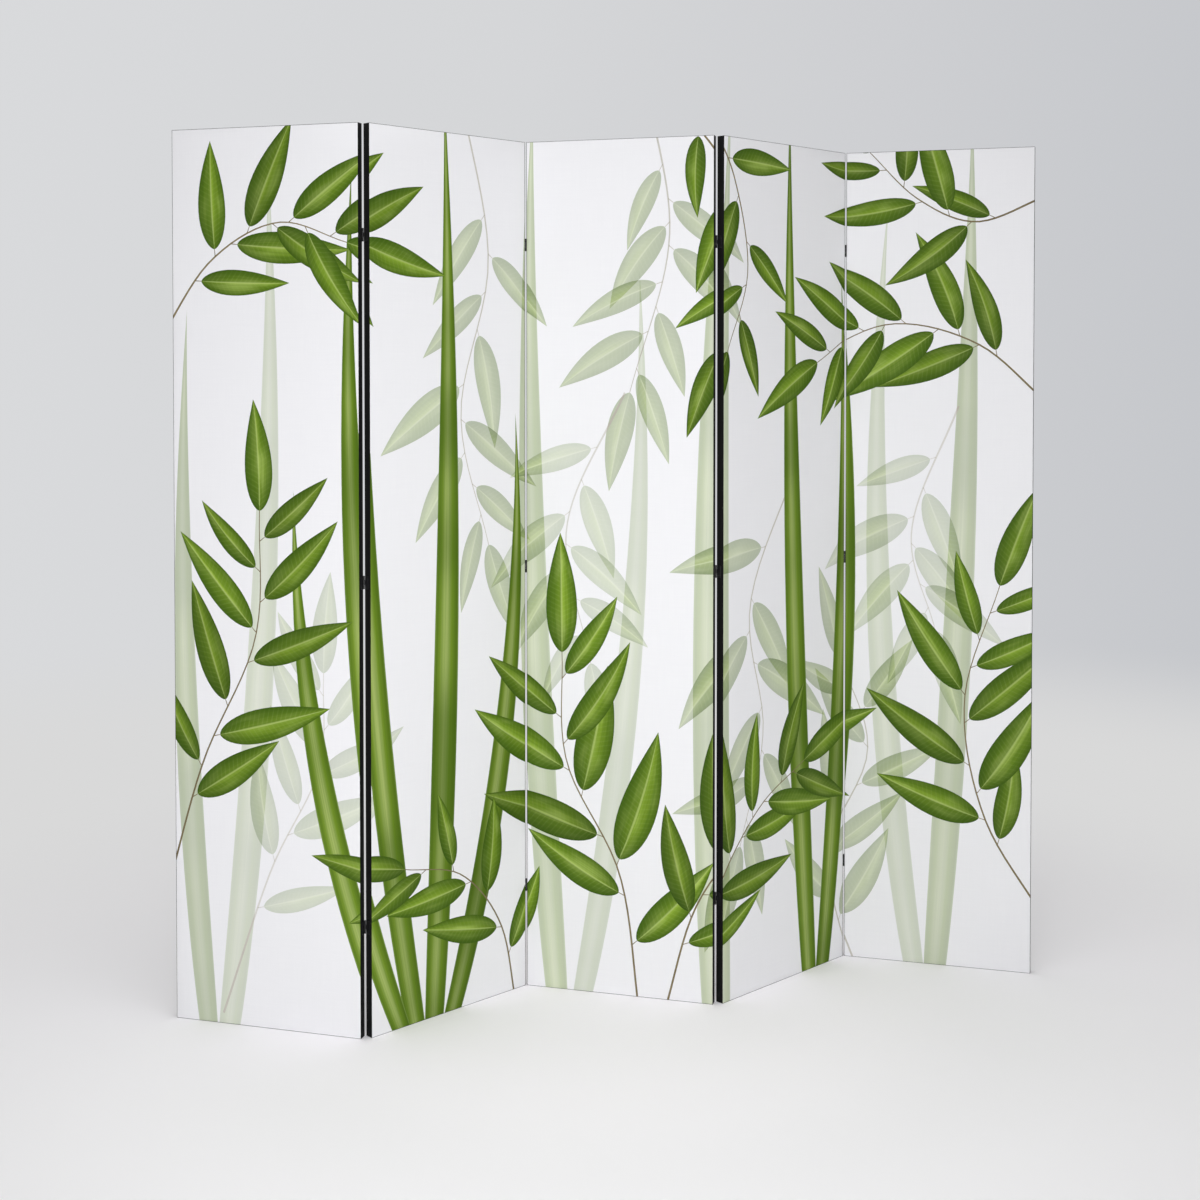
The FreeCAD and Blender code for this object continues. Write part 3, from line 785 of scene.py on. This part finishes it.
# %% The sword leaf ink
blade_ink = paint.ramp(across * 0.5 + 0.5, [
    (0.0, srgb(134, 158, 82)),
    (0.07, srgb(78, 106, 16)),
    (0.30, srgb(112, 142, 36)),
    (0.50, srgb(166, 184, 106)),
    (0.62, srgb(162, 182, 98)),
    (0.78, srgb(118, 146, 44)),
    (0.92, srgb(90, 120, 26)),
    (1.0, srgb(126, 152, 66)),
])
streak = paint.noise(paint.vector(along * 2.5, across * 11, tone * 7), 2.0)
blade_ink = paint.mix(paint.fade(streak, 0.35, 0.65, "LINEAR") * 0.32, blade_ink, srgb(80, 112, 20))
drift = paint.noise(paint.vector(along * 3.1, tone * 5), 1.0)
blade_ink = paint.mix(paint.fade(drift, 0.38, 0.66) * 0.58, blade_ink, srgb(64, 94, 8))
print("with the sword leaf ink there are", len(paint.tree.nodes), "nodes")

# %% The twig ink, and the choice between the three
bark = paint.noise(paint.vector(along * 60, across * 1.5, tone * 3), 1.0)
twig_ink = paint.mix(bark, srgb(84, 68, 40), srgb(150, 138, 104))
colour = paint.mix(kind > (LEAF + BLADE) / 2, leaf_ink, blade_ink)
colour = paint.mix(kind > (BLADE + TWIG) / 2, colour, twig_ink)
colour = paint.node("VectorMath", {"operation": "SCALE"}, {0: colour, "Scale": tone * 0.14 + 1.0})
print("with all three there are", len(paint.tree.nodes), "nodes")

# %% [markdown]
# A pale ink is a thin one that lets the white canvas through. Half an ink looks half as dark only if the
# mix is made in the numbers of a picture, not in those of light, so both colours go through a Gamma node
# before the mix and back after it. The canvas hardly shines, and the constant shine is set on the
# shader's own socket.

# %% All inks on the white canvas
PICTURE_GAMMA = 2.2
threads, canvas_normal = weave(paint, 0.35)
white = paint.mix(threads, srgb(240, 240, 243), srgb(247, 247, 249))
white, colour = [paint.node("Gamma", {}, {0: part, 1: 1 / PICTURE_GAMMA}) for part in (white, colour)]
colour = paint.node("Gamma", {}, {0: paint.mix(ink, white, colour), 1: PICTURE_GAMMA})
paint.surface({
    "Base Color": colour,
    "Roughness": 0.78 - ink * 0.12,
    "Normal": canvas_normal,
    "Specular IOR Level": 0.15,
})
canvases = [build_canvas(panel, paint) for panel in PANELS]

# %% [markdown]


# %% [markdown]
# ## The back cloth
#
# The back is closed with a plain cloth of the same kind, without print. It is flat, so a box with a small
# rounding on its edges is enough, with a map of its own for the weave.

# %% A box with rounded edges


def round_edges(shape, edges, radius, segments):
    bmesh.ops.bevel(
        shape, geom=edges, offset=radius, segments=segments, profile=0.5, affect="EDGES",
        clamp_overlap=True, material=-1
    )


def box(shape, low, high, rounding=0.0):
    """Adds a box between two corners."""
    low, high = Vector(low), Vector(high)
    place = Matrix.Translation((low + high) / 2) @ Matrix.Diagonal((*(high - low), 1))
    verts = bmesh.ops.create_cube(shape, size=1, matrix=place)["verts"]
    if rounding:
        edges = dict.fromkeys(edge for vert in verts for edge in vert.link_edges)
        round_edges(shape, list(edges), rounding, 2)


# %% Build the back cloths
BACKING_ROUNDING = 0.00018
backing_finish = new_finish("plain backing cloth")
threads, backing_normal = weave(backing_finish, 0.5)
backing_colour = backing_finish.mix(threads * 1.6, srgb(222, 221, 216), srgb(238, 237, 233))
backing_finish.surface({"Base Color": backing_colour, "Roughness": 0.85, "Normal": backing_normal})

for panel in PANELS:
    shape = bmesh.new()
    low, high = (-CANVAS_HALF, RETURN_TO, STRIP), (CANVAS_HALF, RETURN_TO + CLOTH, PANEL_HEIGHT - STRIP)
    box(shape, low, high, BACKING_ROUNDING)
    cloth = shape.loops.layers.uv.new("cloth")
    for face in shape.faces:
        for loop in face.loops:
            loop[cloth].uv = (loop.vert.co.x, loop.vert.co.z)
    backing = add_piece(
        f"backing_{panel}", shape, panel, f"panel_{panel}_back_cloth", backing_finish
    )

# %% [markdown]
# ## The black edging
#
# Four thin strips cover the turned canvas all round each panel. From the front only their cut edge shows,
# as a fine dark line. They are matt, with a fine grain like that of rolled plastic.

# %% The finish of the edging
edging_finish = new_finish("black edging")
where = edging_finish.node("TexCoord", output="Object")
cloudy = edging_finish.noise(where, 2.0, 14.0)
edging_colour = edging_finish.mix(cloudy, (0.003, 0.003, 0.003, 1.0), (0.009, 0.009, 0.009, 1.0))
edging_finish.surface({
    "Base Color": edging_colour,
    "Roughness": 0.62 + cloudy * 0.2,
    "Normal": edging_finish.bump(edging_finish.noise(where, 3.0, 900.0), 0.2, 0.00003),
    "Specular IOR Level": 0.15,
})

# %% Build the edging
STRIP_GAP, STRIP_ROUNDING = 0.0001, 0.0001
half, deep = PANEL_WIDTH / 2, PANEL_THICKNESS / 2
foot, top = STRIP + STRIP_GAP, PANEL_HEIGHT - STRIP - STRIP_GAP
STRIPS = [
    ((-half, -deep, 0), (half, deep, STRIP)),
    ((-half, -deep, PANEL_HEIGHT - STRIP), (half, deep, PANEL_HEIGHT)),
    ((-half, -deep, foot), (STRIP - half, deep, top)),
    ((half - STRIP, -deep, foot), (half, deep, top)),
]
for panel in PANELS:
    shape = bmesh.new()
    for low, high in STRIPS:
        box(shape, low, high, STRIP_ROUNDING)
    add_piece(f"edging_{panel}", shape, panel, f"panel_{panel}_edging", edging_finish)
print("a panel has", len(STRIPS), "strips round its edges")

# %% [markdown]
# ## The hinges
#
# A small hinge is two plates of sheet steel. Their tabs are rolled round a pin: two tabs on one leaf, and
# one on the other, between them. The mesh is made the same way. A plate is cut where its tabs end, the
# tabs are extruded to the pin, and a spin rolls them round it, almost all the way. All of it is drawn
# once, at the right and the back of a panel, and mirrored to the other places. The enamel is black with a
# fine orange peel, and a little paler in the few spots where it is worn.

# %% Sizes of a hinge
HINGE_RISES = (0.205, 0.850, 1.495)
HINGE_HEIGHT, LEAF_DEPTH, LEAF_THICKNESS = 0.025, 0.012, 0.0007
LEAF_CORNER, LEAF_EDGE = 0.002, 0.00007
PIN_RADIUS, BORE, PIN_ROUNDING = 0.0007, 0.00075, 0.0002
MIDDLE_TAB_ENDS, OUTER_TABS_START = 0.0045, 0.0048
AXIS = Vector((PANEL_WIDTH / 2 + LEAF_THICKNESS + BORE, PANEL_THICKNESS / 2 + 0.0008, 0))
TAB_LENGTH = BORE + LEAF_THICKNESS + 0.0003
ROLL, ROLL_STEPS = math.radians(298), 26
CREASE = math.radians(40)
print("a hinge turns round", AXIS)

# %% The finish of the hinges
hinge_finish = new_finish("black enamelled steel")
where = hinge_finish.node("TexCoord", output="Object")
wear = hinge_finish.fade(hinge_finish.noise(where, 3.0, 160.0), 0.60, 0.72, "LINEAR")
hinge_finish.surface({
    "Base Color": hinge_finish.mix(wear, (0.012, 0.012, 0.013, 1.0), (0.045, 0.044, 0.043, 1.0)),
    "Roughness": 0.34 + wear * 0.2,
    "Normal": hinge_finish.bump(hinge_finish.noise(where, 2.0, 700.0), 0.2, 0.00004),
})

# %% [markdown]
# Extruding has a trap: faces that are given alone stay behind as walls inside the shape, which then isn't
# closed. Given together with their edges, they are taken away.

# %% Roll a leaf
CORNER_STEPS = 6


def with_edges(faces):
    return list(dict.fromkeys(part for face in faces for part in (face, *face.edges)))


def rolled_leaf(cut, outer):
    """A leaf at the right side and the back of a panel. Its tabs lie outside two cuts, or between them."""
    shape = bmesh.new()
    far, near = AXIS.y - LEAF_DEPTH, AXIS.y - TAB_LENGTH
    box(shape, (PANEL_WIDTH / 2, far, -HINGE_HEIGHT / 2), (AXIS.x - BORE, near, HINGE_HEIGHT / 2))
    back_edges = [edge for edge in shape.edges if all(vert.co.y < (far + near) / 2 for vert in edge.verts)]
    corners = [edge for edge in back_edges if abs(edge.verts[0].co.z - edge.verts[1].co.z) < ON_BORDER]
    round_edges(shape, corners, LEAF_CORNER, CORNER_STEPS)
    for height in (cut, -cut):
        everything = [*shape.verts, *shape.edges, *shape.faces]
        bmesh.ops.bisect_plane(shape, geom=everything, plane_co=(0, 0, height), plane_no=(0, 0, 1))
    ends = [face for face in shape.faces if face.normal.y > 0.9]
    tabs = [face for face in ends if (abs(face.calc_center_median().z) > cut) == outer]
    made = bmesh.ops.extrude_face_region(shape, geom=with_edges(tabs))["geom"]
    bmesh.ops.translate(shape, vec=(0, TAB_LENGTH, 0), verts=verts_of(made))
    tips = with_edges(item for item in made if isinstance(item, bmesh.types.BMFace))
    bmesh.ops.spin(
        shape, geom=tips, cent=AXIS, axis=(0, 0, 1), angle=-ROLL, steps=ROLL_STEPS, use_merge=False
    )
    bmesh.ops.recalc_face_normals(shape, faces=shape.faces)
    sharp = [edge for edge in shape.edges if edge.is_manifold and edge.calc_face_angle() > CREASE]
    round_edges(shape, sharp, LEAF_EDGE, 1)
    return shape


outer_leaf, middle_leaf = rolled_leaf(OUTER_TABS_START, True), rolled_leaf(MIDDLE_TAB_ENDS, False)
print("a leaf has", len(outer_leaf.faces), "faces with two tabs, and", len(middle_leaf.faces), "with one")

# %% [markdown]
# The twelve hinges are alike, and so are their pins and screws. A drawing is copied to the three heights
# of a panel's side with a matrix for each. A fold that points to the front has its hinges at the back,
# and the other way round, so a mirror in the matrix puts them there. A mirror turns a mesh inside out, so
# the normals are made anew.

# %% Copy a shape to each hinge on one side of a panel
LEFT, RIGHT = -1, 1


def copies_on_a_side(target, source, side, face, places=(Matrix.Identity(4),)):
    """Adds the source to the target at each hinge, mirrored to the side and the face of the panel."""
    mesh = bpy.data.meshes.new("copied")
    source.to_mesh(mesh)
    for rise in HINGE_RISES:
        for place in places:
            before = len(target.verts)
            target.from_mesh(mesh)
            target.verts.ensure_lookup_table()
            to_hinge = Matrix.Translation((0, 0, rise)) @ Matrix.Diagonal((side, face, 1, 1)) @ place
            bmesh.ops.transform(target, matrix=to_hinge, verts=target.verts[before:])
    bpy.data.meshes.remove(mesh)
    bmesh.ops.recalc_face_normals(target, faces=target.faces)


def fold_face(fold):
    """1 where the hinges are at the back, -1 where they are at the front."""
    return 1 if fold % 2 else -1


for fold in FOLDS:
    leaves = (("left", fold, RIGHT, outer_leaf), ("right", fold + 1, LEFT, middle_leaf))
    for name, panel, side, source in leaves:
        shape = bmesh.new()
        copies_on_a_side(shape, source, side, fold_face(fold))
        node = f"fold_{fold}_{name}_leaves"
        add_piece(f"hinge_{fold}_{name}", shape, panel, node, hinge_finish)
    print("fold", fold, "has its hinges at the", "back" if fold_face(fold) == 1 else "front")

# %% [markdown]
# A pin is a plain steel rod with slightly rounded ends, as long as the hinge. It moves with the left
# panel.

# %% Build the pins
PIN_SIDES = 24
for fold in FOLDS:
    pin, shape = bmesh.new(), bmesh.new()
    bmesh.ops.create_cone(
        pin, cap_ends=True, segments=PIN_SIDES, radius1=PIN_RADIUS, radius2=PIN_RADIUS,
        depth=HINGE_HEIGHT, matrix=Matrix.Translation(AXIS)
    )
    rims = [edge for edge in pin.edges if abs(edge.verts[0].co.z - edge.verts[1].co.z) < ON_BORDER]
    round_edges(pin, rims, PIN_ROUNDING, 2)
    copies_on_a_side(shape, pin, RIGHT, fold_face(fold))
    add_piece(f"pins_{fold}", shape, fold, f"fold_{fold}_pins", hinge_finish)
print("a pin is", HINGE_HEIGHT * 1000, "mm long")

# %% [markdown]
# A countersunk screw is a cone with a cross pushed into its top. Four cuts each way divide the top face,
# and the parts that form a plus sign are extruded down and drawn together a little, as the point of a
# screwdriver is.

# %% Sizes of a screw
SCREW_SIDES = 24
HEAD_PROUD, HEAD_BELOW, SHANK_BELOW, POINT_BELOW = 0.00012, -0.0008, -0.0095, -0.012
HEAD_RADIUS, NECK_RADIUS, SHANK_RADIUS, POINT_RADIUS = 0.0022, 0.0014, 0.00125, 0.0001
SCREW_LENGTHS = [
    (HEAD_BELOW, HEAD_PROUD, NECK_RADIUS, HEAD_RADIUS),
    (SHANK_BELOW, HEAD_BELOW, SHANK_RADIUS, SHANK_RADIUS),
    (POINT_BELOW, SHANK_BELOW, POINT_RADIUS, SHANK_RADIUS),
]
HEAD_ROUNDING = 0.00018
CROSS_HALF, CROSS_REACH, CROSS_DEPTH, CROSS_TAPER = 0.00028, 0.00115, 0.0009, 0.45
print("a screw is", round((HEAD_PROUD - POINT_BELOW) * 1000, 2), "mm long")

# %% Turn a screw


def top_faces(shape):
    return [face for face in shape.faces if face.normal.z > 0.99 and face.calc_center_median().z > 0]


def in_cross(face):
    centre = face.calc_center_median()
    near, far = sorted((abs(centre.x), abs(centre.y)))
    return near < CROSS_HALF and far < CROSS_REACH


def cross_screw():
    """A screw along +Z whose head ends just above zero."""
    shape = bmesh.new()
    for low, high, low_radius, high_radius in SCREW_LENGTHS:
        bmesh.ops.create_cone(
            shape, cap_ends=True, segments=SCREW_SIDES, radius1=low_radius, radius2=high_radius,
            depth=high - low, matrix=Matrix.Translation((0, 0, (low + high) / 2))
        )
    rim = [edge for edge in shape.edges if all(vert.co.z > HEAD_PROUD / 2 for vert in edge.verts)]
    round_edges(shape, rim, HEAD_ROUNDING, 3)
    for axis in ((1, 0, 0), (0, 1, 0)):
        for at in (-CROSS_REACH, -CROSS_HALF, CROSS_HALF, CROSS_REACH):
            top = top_faces(shape)
            parts = dict.fromkeys([*top, *(part for face in top for part in (*face.edges, *face.verts))])
            bmesh.ops.bisect_plane(shape, geom=list(parts), plane_co=Vector(axis) * at, plane_no=axis)
    cross = [face for face in top_faces(shape) if in_cross(face)]
    moved = verts_of(bmesh.ops.extrude_face_region(shape, geom=with_edges(cross))["geom"])
    bmesh.ops.scale(shape, vec=(CROSS_TAPER, CROSS_TAPER, 1), verts=moved)
    bmesh.ops.translate(shape, vec=(0, 0, -CROSS_DEPTH), verts=moved)
    return shape


screw = cross_screw()
print("a screw has", len(screw.faces), "faces")

# %% [markdown]
# The screws are of blackened steel, a little brighter than the enamel. Each leaf has two, and their
# crosses stand at different angles, as nobody stops turning a screw at a mark.

# %% Build the screws
SCREW_INSET = 0.007
SCREW_RISES = ((-0.008, 20), (0.008, 65))  # the height on the leaf, and the turn of the cross in degrees
fixing_finish = new_finish("blackened steel")
smudge = fixing_finish.noise(fixing_finish.node("TexCoord", output="Object"), 3.0, 300.0)
fixing_colour = fixing_finish.mix(smudge, (0.035, 0.035, 0.037, 1.0), (0.085, 0.083, 0.080, 1.0))
fixing_finish.surface({"Base Color": fixing_colour, "Roughness": 0.25 + smudge * 0.3, "Metallic": 0.85})

screw_places = []
for rise, turn in SCREW_RISES:
    into_the_leaf = Matrix.Translation((AXIS.x - BORE, AXIS.y - SCREW_INSET, rise))
    turned = Matrix.Rotation(math.pi / 2, 4, "Y") @ Matrix.Rotation(math.radians(turn), 4, "Z")
    screw_places.append(into_the_leaf @ turned)
for panel in PANELS:
    shape = bmesh.new()
    for fold, side in ((panel, RIGHT), (panel - 1, LEFT)):
        if fold in FOLDS:
            copies_on_a_side(shape, screw, side, fold_face(fold), screw_places)
    node = f"panel_{panel}_hinge_screws"
    add_piece(f"screws_{panel}", shape, panel, node, fixing_finish)

# %% [markdown]
# ## The wood inside
#
# The frames are pine, and are wholly covered by the cloths and the strips. The CAD solids keep their
# shape, with its mitres, lips and tenons, and get a wood finish whose grain runs along each bar. The
# grain is noise that is stretched along one direction, and the growth rings are a slow noise put through
# a sine.

# %% Pine for each direction of the grain


def pine(name, turn, tilt):
    """Pine whose grain runs along X, before a turn about Z or a tilt about Y."""
    finish = new_finish(name)
    turned = finish.node(
        "VectorRotate", {"rotation_type": "EULER_XYZ", "invert": True},
        {"Vector": finish.node("TexCoord", output="Object"), "Rotation": (0, tilt, turn)}
    )
    x, y, z = finish.split(turned)
    slow = finish.noise(finish.vector(x * 1.5, y * 30, z * 30), 2.0)
    rings = finish.maths("SINE", slow * 34) * 0.5 + 0.5
    fibre = finish.noise(finish.vector(x * 22, y * 900, z * 900), 2.0)
    colour = finish.mix(rings, srgb(222, 188, 138), srgb(196, 152, 98))
    colour = finish.mix(fibre * 0.5, colour, srgb(178, 132, 82))
    normal = finish.bump(fibre + rings * 0.3, 0.3, 0.0001)
    return finish.surface({"Base Color": colour, "Roughness": 0.55 + fibre * 0.2, "Normal": normal})


upright_pine = pine("pine, upright", 0, math.pi / 2)
lying_pine = {turn: pine(f"pine, lying {turn}", math.radians(turn), 0) for turn in (30, -30)}

# %% Give it to the bars
bars = [name for name in frame["nodes"] if name.endswith(("stile", "rail"))]
for name in bars:
    panel = int(name.split("_")[1])
    finish = upright_pine if name.endswith("stile") else lying_pine[30 if panel % 2 == 0 else -30]
    for slot in frame["nodes"][name].material_slots:
        slot.material = finish.material
print(len(bars), "bars are pine")
